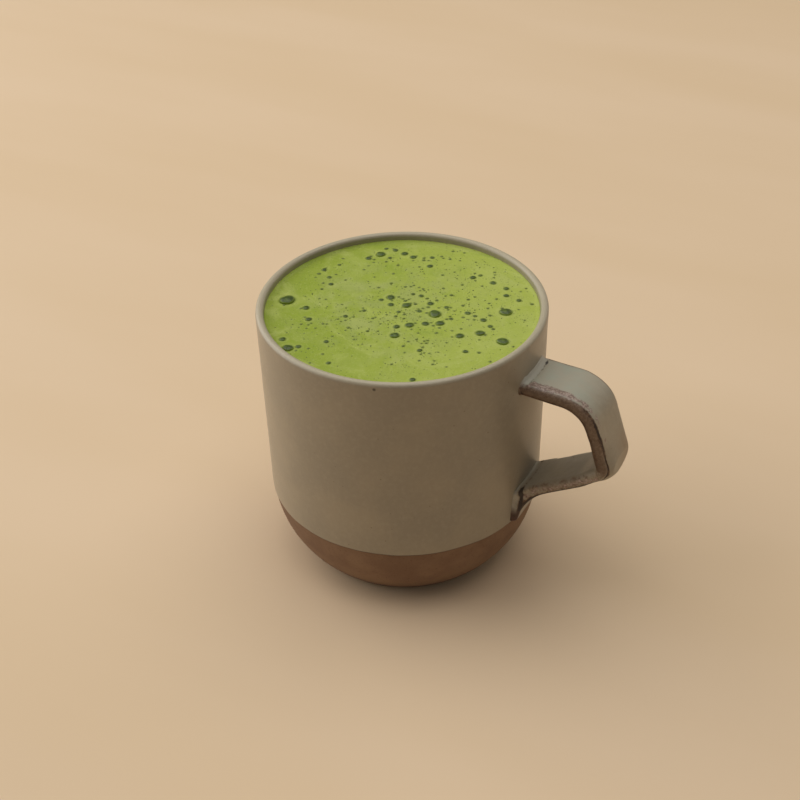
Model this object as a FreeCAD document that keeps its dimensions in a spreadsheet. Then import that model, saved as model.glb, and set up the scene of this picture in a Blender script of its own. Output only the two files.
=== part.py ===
import FreeCAD, Part
import math
import os
import Sketcher

# Ceramic mug with a bent strap handle, filled with a drink. Millimetres.
# The mug stands on Z = 0 with its axis on Z; the handle points along +X.

os.makedirs("parts", exist_ok=True)
doc = FreeCAD.newDocument("mug_of_matcha")

# ---------------------------------------------------------------- sizes
SIZES = [
    # cup body
    ("mug_height", 84.9, "foot to top of lip"),
    ("rim_radius", 42.5, "outside of the wall at the lip"),
    ("wall_draft", 0.84, "how much less the radius is where the wall turns under"),
    ("shoulder_height", 26.0, "height where the wall turns under"),
    ("foot_in", 12.9, "rim in to the outside of the foot ring"),
    ("foot_ring_width", 4.0, "width of the standing ring"),
    ("foot_recess", 1.2, "depth of the recess inside the ring"),
    ("foot_slope", 1.0, "inward lean of the recess side"),
    ("foot_round", 0.7, "rounding of the ring edges"),
    ("wall_rim", 2.4, "wall thickness at the lip"),
    ("lip_flat", 0.1, "flat left on top between the lip's two rounds"),
    ("wall_low", 3.3, "wall thickness above the inner corner"),
    ("inner_corner", 14.0, "radius between inner wall and floor"),
    ("floor_height", 5.5, "inside floor above the foot"),
    ("glaze_line", 23.6, "height where the glaze coat ends"),
    ("glaze_step", 0.3, "glaze coat standing proud of bare clay"),
    # strap handle: side view
    ("arm_drop", 11.2, "rim down to the top face of the strap, at the rim radius"),
    ("arm_droop", 2.0, "fall of the upper arm in degrees"),
    ("strap_thickness", 4.2, "thickness of the strap"),
    ("strap_out", 28.6, "rim out to the outer corner of the strap"),
    ("corner_above_tail", 26.3, "blunt end of the strap up to that outer corner"),
    ("grip_lean", 20.0, "lean of the grip from upright in degrees"),
    ("lower_slope", 31.0, "slope of the lower arm in degrees"),
    ("upper_bend_share", 0.2415, "outer radius of the upper bend as a share of the strap's height"),
    ("lower_bend_share", 0.12, "outer radius of the lower bend as a share of the strap's height"),
    ("tail_bend", 16.0, "hollow curve that turns the strap down the body"),
    ("tail_lean", 10.0, "lean of the tail from upright in degrees"),
    ("tail_share", 0.26266, "height of the blunt end as a share of the mug's height"),
    ("tail_proud", 0.14, "shoulder radius out to the outside of the tail at its end"),
    # strap handle: widths along it, and edges
    ("arm_width", 17.2, "width at the upper joint"),
    ("grip_width", 17.4, "width below the upper bend"),
    ("lower_width", 15.4, "width after the lower bend"),
    ("tail_start_width", 15.6, "width where the strap turns down the body"),
    ("tail_width", 19.5, "width of the flared end"),
    ("strap_edge", 1.9, "rounding of the long edges"),
    ("joint_round", 1.5, "clay worked into the joints"),
    # drink
    ("drink_depth", 2.6, "rim down to the drink"),
    ("drink_clearance", 0.05, "drink to wall"),
    ("meniscus_rise", 0.45, "climb of the drink at the wall"),
    ("meniscus_width", 1.8, "width of that climb"),
]
sheet = doc.addObject("Spreadsheet::Sheet", "Sizes")
val = {}
for row, (name, number, note) in enumerate(SIZES, start=1):
    sheet.set("A%d" % row, name)
    sheet.set("B%d" % row, str(number))
    sheet.set("C%d" % row, note)
    sheet.setAlias("B%d" % row, name)
    val[name] = number
doc.recompute()
V = FreeCAD.Vector


# ---------------------------------------------------------------- helpers
def new_body(label):
    body = doc.addObject("PartDesign::Body", label)
    body.Label = label
    body.Placement = FreeCAD.Placement()
    return body


def origin_of(body, role):
    return [o for o in body.Origin.OriginFeatures if o.Role == role][0]


def new_sketch(body, label, plane):
    sk = body.newObject("Sketcher::SketchObject", label)
    sk.AttachmentSupport = [(origin_of(body, plane), "")]
    sk.MapMode = "FlatFace"
    return sk


class Chain:
    """A closed chain of lines and arcs whose ends meet in order."""

    def __init__(self, sk):
        self.sk = sk
        self.ends = []

    def line(self, a, b):
        i = self.sk.addGeometry(Part.LineSegment(V(a[0], a[1], 0), V(b[0], b[1], 0)), False)
        self.ends.append((i, 1, 2))
        return i

    def arc(self, a, mid, b):
        curve = Part.Arc(V(a[0], a[1], 0), V(mid[0], mid[1], 0), V(b[0], b[1], 0))
        i = self.sk.addGeometry(curve, False)
        start = self.sk.getPoint(i, 1)
        forward = (start - V(a[0], a[1], 0)).Length < 1e-4
        self.ends.append((i, 1, 2) if forward else (i, 2, 1))
        return i

    def close(self, tangent):
        """Joins the ends; after an element listed in tangent the joint is smooth."""
        n = len(self.ends)
        for k in range(n):
            i, _, out = self.ends[k]
            j, into, _ = self.ends[(k + 1) % n]
            kind = "Tangent" if i in tangent else "Coincident"
            self.sk.addConstraint(Sketcher.Constraint(kind, i, out, j, into))

    def start(self, i):
        return [e[1] for e in self.ends if e[0] == i][0]

    def end(self, i):
        return [e[2] for e in self.ends if e[0] == i][0]


def bind(sk, kind, *where):
    """Adds a dimension at its present size and binds it to the expression given last."""
    *spots, expression = where
    here = sk.Geometry[spots[0]] if spots[0] >= 0 else None
    if kind == "Radius":
        now = here.Radius
    elif kind in ("DistanceX", "DistanceY"):
        a = sk.getPoint(spots[0], spots[1])
        b = sk.getPoint(spots[2], spots[3])
        now = (b.x - a.x) if kind == "DistanceX" else (b.y - a.y)
    elif kind == "Distance":
        a = sk.getPoint(spots[0], spots[1])
        far = sk.Geometry[spots[2]]
        along = (far.EndPoint - far.StartPoint).normalize()
        now = abs((a - far.StartPoint).cross(along).z)
    c = sk.addConstraint(Sketcher.Constraint(kind, *spots, now))
    sk.setExpression("Constraints[%d]" % c, expression)
    return c


def at_x(sk, geo, pos, expression):
    return bind(sk, "DistanceX", -1, 1, geo, pos, expression)


def at_y(sk, geo, pos, expression):
    return bind(sk, "DistanceY", -1, 1, geo, pos, expression)


def lean(sk, geo, expression):
    """Binds the heading of a line, counted in degrees from the sketch's own X."""
    d = sk.Geometry[geo].EndPoint - sk.Geometry[geo].StartPoint
    c = sk.addConstraint(Sketcher.Constraint("Angle", geo, math.atan2(d.y, d.x)))
    sk.setExpression("Constraints[%d]" % c, "(%s) * 1 deg" % expression)
    return c


def meet(p, a, q, b):
    """Where the line through p at angle a meets the line through q at angle b."""
    pa, pb = (math.cos(a), math.sin(a)), (math.cos(b), math.sin(b))
    t = ((q[0] - p[0]) * pb[1] - (q[1] - p[1]) * pb[0]) / (pa[0] * pb[1] - pa[1] * pb[0])
    return (p[0] + t * pa[0], p[1] + t * pa[1])


def bend(corner, a, b, r):
    """Start, middle and end of an arc of radius r that turns heading a into heading b."""
    half = (b - a) / 2
    run = r * abs(math.tan(half))
    start = (corner[0] - run * math.cos(a), corner[1] - run * math.sin(a))
    end = (corner[0] + run * math.cos(b), corner[1] + run * math.sin(b))
    side = 1 if half > 0 else -1
    centre = (start[0] - side * r * math.sin(a), start[1] + side * r * math.cos(a))
    mid_heading = a + half
    mid = (centre[0] + side * r * math.sin(mid_heading), centre[1] - side * r * math.cos(mid_heading))
    return start, mid, end


def shift(p, heading, d):
    """The point p moved d to the left of a heading."""
    return (p[0] - d * math.sin(heading), p[1] + d * math.cos(heading))


def near(shape, test):
    """Names of the edges that pass a test."""
    return ["Edge%d" % (i + 1) for i, e in enumerate(shape.Edges) if test(e)]


S = "Sizes."
v = val

# ---------------------------------------------------------------- cup body
cup = new_body("mug")
sk = new_sketch(cup, "cup_profile", "YZ_Plane")

lip_r = v["wall_rim"] / 2
shoulder = v["rim_radius"] - v["wall_draft"]
foot_out = v["rim_radius"] - v["foot_in"]
wall_up = math.atan2(v["mug_height"] - lip_r - v["shoulder_height"], v["wall_draft"])
p3 = (shoulder, v["shoulder_height"])
p2 = (foot_out, 0.0)
# the underside curve leaves the wall smoothly and ends at the foot
left = (-math.sin(wall_up), math.cos(wall_up))
dx, dy = p2[0] - p3[0], p2[1] - p3[1]
under_r = (dx * dx + dy * dy) / (2 * (dx * left[0] + dy * left[1]))
uc = (p3[0] + under_r * left[0], p3[1] + under_r * left[1])
g2 = (uc[0] + math.sqrt(under_r**2 - (v["glaze_line"] - uc[1]) ** 2), v["glaze_line"])
g1 = (g2[0] - v["glaze_step"], g2[1])


def on_arc(c, a, b):
    m = ((a[0] + b[0]) / 2 - c[0], (a[1] + b[1]) / 2 - c[1])
    r = (math.hypot(a[0] - c[0], a[1] - c[1]) + math.hypot(b[0] - c[0], b[1] - c[1])) / 2
    k = r / math.hypot(*m)
    return (c[0] + m[0] * k, c[1] + m[1] * k)


p4 = (v["rim_radius"], v["mug_height"] - lip_r)
p5 = (v["rim_radius"] - lip_r, v["mug_height"])
p6 = (0.0, v["mug_height"])
p7 = (0.0, v["foot_recess"])
ring_in = foot_out - v["foot_ring_width"]
p8 = (ring_in - v["foot_slope"], v["foot_recess"])
p1 = (ring_in, 0.0)
lip_c = (v["rim_radius"] - lip_r, v["mug_height"] - lip_r)

ch = Chain(sk)
e_ring = ch.line(p1, p2)
e_clay = ch.arc(p2, on_arc(uc, p2, g1), g1)
e_step = ch.line(g1, g2)
e_glaze = ch.arc(g2, on_arc(uc, g2, p3), p3)
e_wall = ch.line(p3, p4)
e_lip = ch.arc(p4, on_arc(lip_c, p4, p5), p5)
e_top = ch.line(p5, p6)
e_axis = ch.line(p6, p7)
e_recess = ch.line(p7, p8)
e_slope = ch.line(p8, p1)
ch.close({e_glaze, e_wall, e_lip})
sk.addConstraint(Sketcher.Constraint("Coincident", e_clay, 3, e_glaze, 3))
for e in (e_ring, e_step, e_top, e_recess):
    sk.addConstraint(Sketcher.Constraint("Horizontal", e))
sk.addConstraint(Sketcher.Constraint("PointOnObject", e_ring, ch.start(e_ring), -1))
sk.addConstraint(Sketcher.Constraint("PointOnObject", e_axis, ch.start(e_axis), -2))
sk.addConstraint(Sketcher.Constraint("PointOnObject", e_axis, ch.end(e_axis), -2))
at_x(sk, e_ring, ch.start(e_ring), S + "rim_radius - " + S + "foot_in - " + S + "foot_ring_width")
at_x(sk, e_ring, ch.end(e_ring), S + "rim_radius - " + S + "foot_in")
at_y(sk, e_glaze, ch.start(e_glaze), S + "glaze_line")
bind(sk, "DistanceX", e_step, ch.start(e_step), e_step, ch.end(e_step), S + "glaze_step")
at_x(sk, e_wall, ch.start(e_wall), S + "rim_radius - " + S + "wall_draft")
at_y(sk, e_wall, ch.start(e_wall), S + "shoulder_height")
at_x(sk, e_wall, ch.end(e_wall), S + "rim_radius")
bind(sk, "Radius", e_lip, S + "wall_rim / 2")
at_y(sk, e_lip, 3, S + "mug_height - " + S + "wall_rim / 2")
at_y(sk, e_recess, ch.start(e_recess), S + "foot_recess")
at_x(sk, e_recess, ch.end(e_recess), S + "rim_radius - " + S + "foot_in - " + S + "foot_ring_width - " + S + "foot_slope")

turn = cup.newObject("PartDesign::Revolution", "cup_turned")
turn.Profile = sk
turn.ReferenceAxis = (sk, ["V_Axis"])
turn.Angle = 360.0
doc.recompute()


def ring_edge(radius_expression_value, height):
    return lambda e: (
        isinstance(e.Curve, Part.Circle)
        and abs(e.Curve.Radius - radius_expression_value) < 0.01
        and abs(e.Curve.Center.z - height) < 0.01
    )


foot = cup.newObject("PartDesign::Fillet", "foot_rounded")
foot.Base = (turn, near(turn.Shape, ring_edge(foot_out, 0)) + near(turn.Shape, ring_edge(ring_in, 0)))
foot.setExpression("Radius", S + "foot_round")
doc.recompute()

# ---------------------------------------------------------------- strap handle
strap = new_body("strap")
path = new_sketch(strap, "strap_path", "XZ_Plane")
rad = math.radians
t = v["strap_thickness"]
# headings: out along the upper arm, down the grip, back along the lower arm, down the body
h_arm = rad(-v["arm_droop"])
h_grip = rad(-90 + v["grip_lean"])
h_low = rad(-180 + v["lower_slope"])
h_tail = rad(-90 - v["tail_lean"])
# the middle of the strap lies half its thickness inside its outer faces
arm_y = v["mug_height"] - v["arm_drop"]
tail_x = shoulder + v["tail_proud"]
tail_y = v["mug_height"] * v["tail_share"]
corner_y = tail_y + v["corner_above_tail"]
strap_height = v["mug_height"] - v["arm_drop"] - tail_y
upper_r = strap_height * v["upper_bend_share"]
lower_r = strap_height * v["lower_bend_share"]
face_corner = (v["rim_radius"] + v["strap_out"], corner_y)
m_arm = shift((v["rim_radius"], arm_y), h_arm, -t / 2)
m_grip = shift(face_corner, h_grip, -t / 2)
m_low = shift(face_corner, h_low, -t / 2)
m_end = shift((tail_x, tail_y), h_tail, -t / 2)
# the upper end starts under the lip's inner face, where the hollow is cut later
root = v["rim_radius"] - v["wall_rim"]
m_start = meet(m_arm, h_arm, (root, 0.0), rad(90))
up = bend(meet(m_arm, h_arm, m_grip, h_grip), h_arm, h_grip, upper_r - t / 2)
low = bend(meet(m_grip, h_grip, m_low, h_low), h_grip, h_low, lower_r - t / 2)
tail = bend(meet(m_low, h_low, m_end, h_tail), h_low, h_tail, v["tail_bend"] + t / 2)

run = [path.addGeometry(Part.LineSegment(V(a[0], a[1], 0), V(b[0], b[1], 0)), False)
       for a, b in ((m_start, up[0]), (up[2], low[0]), (low[2], tail[0]), (tail[2], m_end))]
turns = []
for k, three in enumerate((up, low, tail)):
    arc = path.addGeometry(Part.Arc(*[V(q[0], q[1], 0) for q in three]), False)
    first = (path.getPoint(arc, 1) - V(three[0][0], three[0][1], 0)).Length < 1e-4
    into, out = (1, 2) if first else (2, 1)
    path.addConstraint(Sketcher.Constraint("Tangent", run[k], 2, arc, into))
    path.addConstraint(Sketcher.Constraint("Tangent", arc, out, run[k + 1], 1))
    turns.append(arc)
# each run is held by its outer face, half a strap away, and its slope
for line, slope in zip(run, ("0 - " + S + "arm_droop", S + "grip_lean - 90", S + "lower_slope - 180", "0 - 90 - " + S + "tail_lean")):
    lean(path, line, slope)
held = []
for where, lines in (
    ((v["rim_radius"], arm_y), (run[0],)),
    (face_corner, (run[1], run[2])),
    ((tail_x, tail_y), (run[3],)),
):
    q = path.addGeometry(Part.Point(V(where[0], where[1], 0)), True)
    for line in lines:
        bind(path, "Distance", q, 1, line, S + "strap_thickness / 2")
    held.append(q)
at_x(path, held[0], 1, S + "rim_radius")
at_y(path, held[0], 1, S + "mug_height - " + S + "arm_drop")
at_x(path, held[1], 1, S + "rim_radius + " + S + "strap_out")
at_y(path, held[1], 1, S + "mug_height * " + S + "tail_share + " + S + "corner_above_tail")
at_x(path, held[2], 1, S + "rim_radius - " + S + "wall_draft + " + S + "tail_proud")
at_y(path, held[2], 1, S + "mug_height * " + S + "tail_share")
at_x(path, run[0], 1, S + "rim_radius - " + S + "wall_rim")
end_square = path.addGeometry(Part.LineSegment(V(m_end[0], m_end[1], 0), V(tail_x, tail_y, 0)), True)
path.addConstraint(Sketcher.Constraint("Coincident", end_square, 1, run[3], 2))
path.addConstraint(Sketcher.Constraint("Coincident", end_square, 2, held[2], 1))
path.addConstraint(Sketcher.Constraint("Perpendicular", end_square, run[3]))
high = "(" + S + "mug_height - " + S + "arm_drop - " + S + "mug_height * " + S + "tail_share)"
for arc, radius in zip(turns, (high + " * " + S + "upper_bend_share - ", high + " * " + S + "lower_bend_share - ", S + "tail_bend + ")):
    bind(path, "Radius", arc, radius + S + "strap_thickness / 2")
doc.recompute()


def section(label, at, heading, width):
    """A rounded rectangle square to the strap: its own X is across, its own Y through the thickness."""
    sec = new_sketch(strap, label, "YZ_Plane")
    sec.AttachmentOffset = FreeCAD.Placement(
        V(0, at[1], at[0]), FreeCAD.Rotation(V(1, 0, 0), -math.degrees(heading))
    )
    a, b, r = v[width] / 2, t / 2, v["strap_edge"]
    ch = Chain(sec)
    corners = [(a, b), (-a, b), (-a, -b), (a, -b)]
    lines, arcs = [], []
    for k, (x, y) in enumerate(corners):
        nx, ny = corners[(k + 1) % 4]
        ux, uy = (nx - x) / math.hypot(nx - x, ny - y), (ny - y) / math.hypot(nx - x, ny - y)
        lines.append(ch.line((x + ux * r, y + uy * r), (nx - ux * r, ny - uy * r)))
        cx, cy = nx - math.copysign(r, nx), ny - math.copysign(r, ny)
        ex, ey = corners[(k + 2) % 4]
        wx, wy = (ex - nx) / math.hypot(ex - nx, ey - ny), (ey - ny) / math.hypot(ex - nx, ey - ny)
        s_pt, e_pt = (nx - ux * r, ny - uy * r), (nx + wx * r, ny + wy * r)
        arcs.append(ch.arc(s_pt, on_arc((cx, cy), s_pt, e_pt), e_pt))
    ch.close(set(lines) | set(arcs))
    for line, kind in zip(lines, ("Horizontal", "Vertical", "Horizontal", "Vertical")):
        sec.addConstraint(Sketcher.Constraint(kind, line))
    bind(sec, "Radius", arcs[0], S + "strap_edge")
    for arc in arcs[1:]:
        sec.addConstraint(Sketcher.Constraint("Equal", arcs[0], arc))
    at_y(sec, lines[0], 1, S + "strap_thickness / 2")
    at_y(sec, lines[2], 1, "0 - " + S + "strap_thickness / 2")
    at_x(sec, lines[1], 1, "0 - " + S + width + " / 2")
    at_x(sec, lines[3], 1, S + width + " / 2")
    doc.recompute()
    return sec


first = section("section_arm", m_start, h_arm, "arm_width")
others = [
    section("section_grip", up[2], h_grip, "grip_width"),
    section("section_lower", low[2], h_low, "lower_width"),
    section("section_tail", tail[0], h_low, "tail_start_width"),
    section("section_end", m_end, h_tail, "tail_width"),
]
sweep = strap.newObject("PartDesign::AdditivePipe", "strap_bent")
sweep.Profile = first
sweep.Spine = (path, [])
sweep.Sections = [(o, [""]) for o in others]
sweep.Transformation = "Multisection"
sweep.Mode = "Standard"
doc.recompute()

# ---------------------------------------------------------------- one piece of clay
joined = cup.newObject("PartDesign::Boolean", "strap_joined")
joined.Group = [strap]
joined.Type = "Fuse"
doc.recompute()


def outside_radius(z):
    """Radius of the cup's outside at a height."""
    if z >= v["shoulder_height"]:
        k = (z - v["shoulder_height"]) / (p4[1] - v["shoulder_height"])
        return shoulder + k * v["wall_draft"]
    edge = g2 if z > v["glaze_line"] else g1
    return uc[0] + math.sqrt(math.hypot(edge[0] - uc[0], edge[1] - uc[1]) ** 2 - (z - uc[1]) ** 2)


def joint_edge(low_z, high_z):
    """Edges where the strap meets the outside of the cup, between two heights."""

    def test(e):
        b = e.BoundBox
        if b.XMin < foot_out or b.ZMin < low_z or b.ZMax > high_z:
            return False
        around = isinstance(e.Curve, Part.Circle) and abs(e.Curve.Axis.z) > 0.999
        if around and math.hypot(e.Curve.Center.x, e.Curve.Center.y) < 0.01:
            return False
        a, z = e.ParameterRange
        points = [e.valueAt(a + (z - a) * k / 4) for k in range(5)]
        return all(abs(math.hypot(q.x, q.y) - outside_radius(q.z)) < 0.02 for q in points)

    return test


mid_height = (arm_y + corner_y) / 2
worked = cup.newObject("PartDesign::Fillet", "upper_joint")
worked.Base = (joined, near(joined.Shape, joint_edge(mid_height, p4[1])))
worked.setExpression("Radius", S + "joint_round")
doc.recompute()


# ---------------------------------------------------------------- hollow and drink
sk = new_sketch(cup, "hollow_profile", "YZ_Plane")
inner_low = shoulder - v["wall_low"]
corner_c = (inner_low - v["inner_corner"], v["floor_height"] + v["inner_corner"])
n1 = (0.0, v["floor_height"])
n2 = (corner_c[0], v["floor_height"])
n3 = (inner_low, corner_c[1])
n4 = (v["rim_radius"] - v["wall_rim"], v["mug_height"])
over = v["mug_height"] + v["drink_depth"]
wall_in = math.atan2(n4[0] - n3[0], n4[1] - n3[1])
n5 = (n4[0] + (over - n4[1]) * math.tan(wall_in), over)
ch = Chain(sk)
e_floor = ch.line(n1, n2)
e_corner = ch.arc(n2, on_arc(corner_c, n2, n3), n3)
e_inner = ch.line(n3, n5)
e_over = ch.line(n5, (0.0, over))
e_axis = ch.line((0.0, over), n1)
ch.close({e_floor, e_corner})
for e in (e_floor, e_over):
    sk.addConstraint(Sketcher.Constraint("Horizontal", e))
sk.addConstraint(Sketcher.Constraint("PointOnObject", e_axis, 1, -2))
sk.addConstraint(Sketcher.Constraint("PointOnObject", e_axis, 2, -2))
at_y(sk, e_floor, 1, S + "floor_height")
bind(sk, "Radius", e_corner, S + "inner_corner")
at_x(sk, e_inner, 1, S + "rim_radius - " + S + "wall_draft - " + S + "wall_low")
at_y(sk, e_over, 1, S + "mug_height + " + S + "drink_depth")
# the inner wall is held where it passes the rim
rim_point = sk.addGeometry(Part.Point(V(n4[0], n4[1], 0)), True)
sk.addConstraint(Sketcher.Constraint("PointOnObject", rim_point, 1, e_inner))
at_x(sk, rim_point, 1, S + "rim_radius - " + S + "wall_rim")
at_y(sk, rim_point, 1, S + "mug_height")
emptied = cup.newObject("PartDesign::Groove", "hollow")
emptied.Profile = sk
emptied.ReferenceAxis = (sk, ["V_Axis"])
emptied.Angle = 360.0
doc.recompute()
lip = cup.newObject("PartDesign::Fillet", "lip_inner_round")
lip.Base = (emptied, near(emptied.Shape, ring_edge(v["rim_radius"] - v["wall_rim"], v["mug_height"])))
lip.setExpression("Radius", S + "wall_rim / 2 - " + S + "lip_flat")
doc.recompute()

drink = new_body("matcha")
sk = new_sketch(drink, "drink_profile", "YZ_Plane")
gap = v["drink_clearance"]
level = v["mug_height"] - v["drink_depth"]
lean_in = math.atan2(n4[0] - n3[0], n4[1] - n3[1])
d1 = (0.0, v["floor_height"] + gap)
d2 = (corner_c[0], d1[1])
d3 = (inner_low - gap, corner_c[1])
climb_y = level + v["meniscus_rise"]
d4 = (d3[0] + (climb_y - d3[1]) * math.tan(lean_in), climb_y)
d5 = (d4[0] - v["meniscus_width"], level)
m_r = (v["meniscus_width"] ** 2 + v["meniscus_rise"] ** 2) / (2 * v["meniscus_rise"])
ch = Chain(sk)
e_floor = ch.line(d1, d2)
e_corner = ch.arc(d2, on_arc(corner_c, d2, d3), d3)
e_side = ch.line(d3, d4)
e_climb = ch.arc(d4, on_arc((d5[0], level + m_r), d4, d5), d5)
e_top = ch.line(d5, (0.0, level))
e_axis = ch.line((0.0, level), d1)
ch.close({e_floor, e_corner, e_climb})
for e in (e_floor, e_top):
    sk.addConstraint(Sketcher.Constraint("Horizontal", e))
sk.addConstraint(Sketcher.Constraint("PointOnObject", e_axis, 1, -2))
sk.addConstraint(Sketcher.Constraint("PointOnObject", e_axis, 2, -2))
at_y(sk, e_floor, 1, S + "floor_height + " + S + "drink_clearance")
bind(sk, "Radius", e_corner, S + "inner_corner - " + S + "drink_clearance")
at_x(sk, e_side, 1, S + "rim_radius - " + S + "wall_draft - " + S + "wall_low - " + S + "drink_clearance")
# the drink's side runs beside the inner wall, so both lean the same
wall_point = sk.addGeometry(Part.Point(V(n4[0] - gap, n4[1], 0)), True)
sk.addConstraint(Sketcher.Constraint("PointOnObject", wall_point, 1, e_side))
at_x(sk, wall_point, 1, S + "rim_radius - " + S + "wall_rim - " + S + "drink_clearance")
at_y(sk, wall_point, 1, S + "mug_height")
at_y(sk, e_top, 2, S + "mug_height - " + S + "drink_depth")
at_y(sk, e_side, 2, S + "mug_height - " + S + "drink_depth + " + S + "meniscus_rise")
bind(sk, "DistanceX", e_top, 1, e_side, 2, S + "meniscus_width")
poured = drink.newObject("PartDesign::Revolution", "poured")
poured.Profile = sk
poured.ReferenceAxis = (sk, ["V_Axis"])
poured.Angle = 360.0
doc.recompute()

# ---------------------------------------------------------------- checks and export
for obj in doc.Objects:
    bad = [s for s in obj.State if s in ("Invalid", "Error")]
    if bad:
        raise RuntimeError("%s: %s" % (obj.Label, bad))
for node, body in (("mug", cup), ("matcha", drink)):
    shape = body.Shape
    if shape.isNull() or not shape.isValid() or len(shape.Solids) != 1:
        raise RuntimeError("%s is not one valid solid" % node)
    shape.exportStep("parts/%s.step" % node)
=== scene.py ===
"""A stoneware mug full of green matcha: cup, strap handle, foam and bubbles, then floor, light and camera.

Lengths are in mm, and make() turns them into the metres of the scene. Lamps and camera are in metres.
The sizes of the cup and the strap follow the CAD model's, except that the strap's tail ends 1.6 mm higher.
"""
import math
from types import SimpleNamespace

import bpy
import numpy as np
from mathutils import Matrix, Vector, noise


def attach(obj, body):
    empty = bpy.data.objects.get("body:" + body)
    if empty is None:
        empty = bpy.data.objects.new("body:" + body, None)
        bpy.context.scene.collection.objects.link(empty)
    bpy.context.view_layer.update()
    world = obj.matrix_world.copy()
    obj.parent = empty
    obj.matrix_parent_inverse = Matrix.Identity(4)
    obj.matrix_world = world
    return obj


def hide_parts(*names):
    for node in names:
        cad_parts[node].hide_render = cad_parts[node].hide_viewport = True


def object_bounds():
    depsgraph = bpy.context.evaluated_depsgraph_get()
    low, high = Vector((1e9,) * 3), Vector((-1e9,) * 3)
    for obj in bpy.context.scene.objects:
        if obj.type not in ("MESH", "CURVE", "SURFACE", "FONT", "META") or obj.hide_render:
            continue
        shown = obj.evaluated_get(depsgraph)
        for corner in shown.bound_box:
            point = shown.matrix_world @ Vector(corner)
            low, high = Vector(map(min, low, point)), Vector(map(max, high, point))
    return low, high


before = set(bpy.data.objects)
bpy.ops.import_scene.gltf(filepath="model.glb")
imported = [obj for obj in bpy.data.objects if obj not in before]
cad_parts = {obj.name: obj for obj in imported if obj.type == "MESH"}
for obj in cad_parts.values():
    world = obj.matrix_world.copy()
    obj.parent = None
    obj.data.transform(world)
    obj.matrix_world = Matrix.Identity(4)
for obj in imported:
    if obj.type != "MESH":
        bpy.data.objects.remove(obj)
cad_lo, cad_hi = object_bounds()
MM = 0.001


# ------------------------------------------------------------------ helpers
def lin(r, g, b):
    """A colour given as 0-255 display values, as the linear numbers a shader takes."""
    def one(c):
        c /= 255
        return c / 12.92 if c <= 0.04045 else ((c + 0.055) / 1.055) ** 2.4
    return (one(r), one(g), one(b), 1.0)


def level(value):
    """A grey that carries a number through a colour mix."""
    return (value, value, value, 1)


def step(a, b, x):
    """0 below a, 1 above b, smooth between."""
    t = np.clip((x - a) / (b - a), 0, 1)
    return t * t * (3 - 2 * t)


def band(x, middle, half):
    """1 at the middle of a line, soft to 0 at about twice its half width."""
    return np.exp(-(((x - middle) / half) ** 2))


def rough(points, size, seed, octaves=3):
    """Smooth noise of about -1..1 at points in mm, with features of the given size."""
    shift = Vector((seed * 17.3, seed * 5.1, seed * 9.7))
    return np.array([noise.fractal(Vector(p) / size + shift, 1.0, 2.0, octaves) for p in points])


def make(name, points, faces, attributes=None, smooth=True):
    """A mesh object from points in mm."""
    me = bpy.data.meshes.new(name)
    me.from_pydata((np.asarray(points) * MM).tolist(), [], faces)
    me.validate()
    if smooth:
        me.shade_smooth()
    for key, values in (attributes or {}).items():
        at = me.attributes.new(key, "FLOAT", "POINT")
        at.data.foreach_set("value", np.asarray(values, dtype=np.float32))
    ob = bpy.data.objects.new(name, me)
    bpy.context.scene.collection.objects.link(ob)
    return ob


def arc(cx, cz, r, a0, a1, n):
    """n points on an arc, angles in degrees, the first one left out."""
    t = np.radians(a0 + (a1 - a0) * np.arange(1, n + 1) / n)
    return [(cx + r * math.cos(k), cz + r * math.sin(k)) for k in t]


def run(p, q, n):
    """n points on the line from p to q, the first one left out."""
    return [(p[0] + (q[0] - p[0]) * k / n, p[1] + (q[1] - p[1]) * k / n) for k in range(1, n + 1)]


def strip(a, b):
    """Faces between two closed loops of point numbers."""
    after = list(range(1, len(a))) + [0]
    return [(a[j], a[k], b[k], b[j]) for j, k in enumerate(after)]


def fan(tip, loop):
    """Faces from one point to a closed loop."""
    after = list(range(1, len(loop))) + [0]
    return [(tip, loop[j], loop[k]) for j, k in enumerate(after)]


def loops_from(first, count, around):
    """The point numbers of count loops of around points each."""
    return [list(range(first + i * around, first + (i + 1) * around)) for i in range(count)]


# ------------------------------------------------------------------ sizes
RIM, HEIGHT = round(cad_hi[1] / MM, 1), round(cad_hi[2] / MM, 1)
LIP = 1.2
SHOULDER, SHOULDER_Z = RIM - 0.84, 26.0
FOOT, RECESS = RIM - 12.9, 1.2
FLOOR, CORNER = 5.5, 14.0
CORNER_Z = FLOOR + CORNER
INNER_TOP, INNER_LOW = RIM - 2 * LIP, SHOULDER - 3.3
GLAZE_Z, GLAZE = 23.6, 0.3
LEVEL = HEIGHT - 2.6
STRAP, STRAP_ROUND = 4.2, 1.9

# from shoulder to foot the outside is one arc that leaves the wall smoothly: its centre and radius
lean = math.atan2(HEIGHT - LIP - SHOULDER_Z, RIM - SHOULDER)
lean_x, lean_z = -math.sin(lean), math.cos(lean)
to_foot_x, to_foot_z = FOOT - SHOULDER, -SHOULDER_Z
UNDER = (to_foot_x**2 + to_foot_z**2) / (2 * (to_foot_x * lean_x + to_foot_z * lean_z))
UNDER_X, UNDER_Z = SHOULDER + UNDER * lean_x, SHOULDER_Z + UNDER * lean_z

# the photograph's view: turned from +X, looking down, and tilted, in degrees
VIEW_TURN, VIEW_DOWN, VIEW_TILT = 29.0, 35.523, -1.44
# across the view and away from the viewer, level
ACROSS = Vector((math.cos(math.radians(VIEW_TURN)), math.sin(math.radians(VIEW_TURN)), 0))
AWAY = Vector((-ACROSS.y, ACROSS.x, 0))
UP = Vector((0, 0, 1))


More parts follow.
